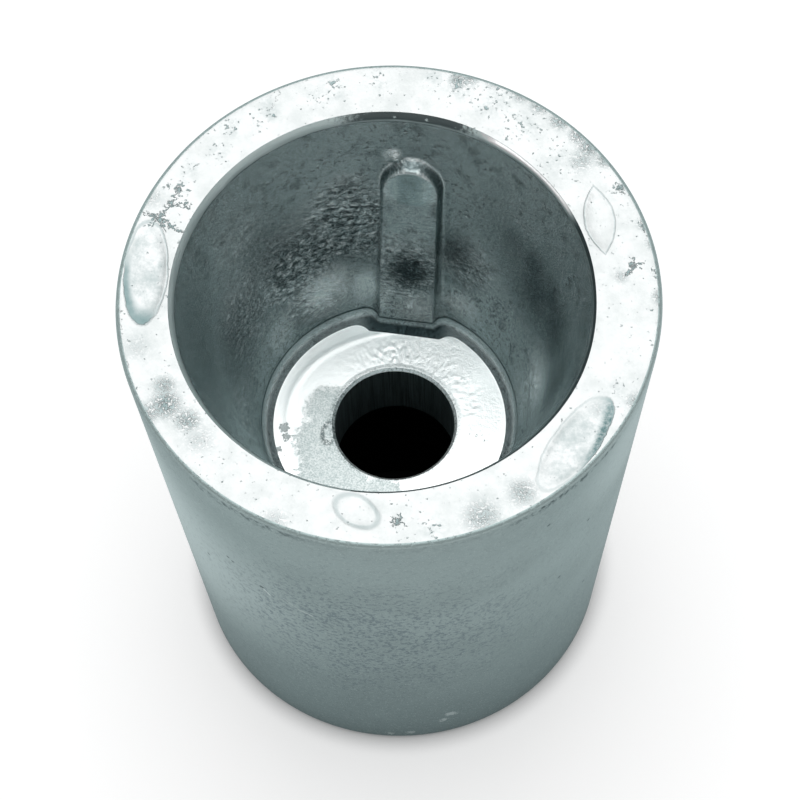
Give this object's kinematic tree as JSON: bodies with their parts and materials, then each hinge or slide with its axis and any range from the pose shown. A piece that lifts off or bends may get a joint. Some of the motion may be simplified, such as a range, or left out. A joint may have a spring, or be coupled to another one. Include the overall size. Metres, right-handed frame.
{
  "type": "sacrificial anode",
  "caption": "Hollow tapered zinc nose-cone anode that covers a propeller nut: conical pocket with a key rib, bolt hole in the pocket floor and a counterbore from the nose.",
  "frame": {"origin": "centre of the narrow nose face, on the casting's own axis", "axes": "+Z from the nose face to the open wide end, +Y to the side of the pocket that carries the rib"},
  "size_m": [0.056, 0.056, 0.064],
  "materials": {
    "zinc_casting": "as cast, satin outside, bright ground rim"
  },
  "bodies": {
    "root": {"anode_casting": "zinc_casting"}
  },
  "joints": []
}
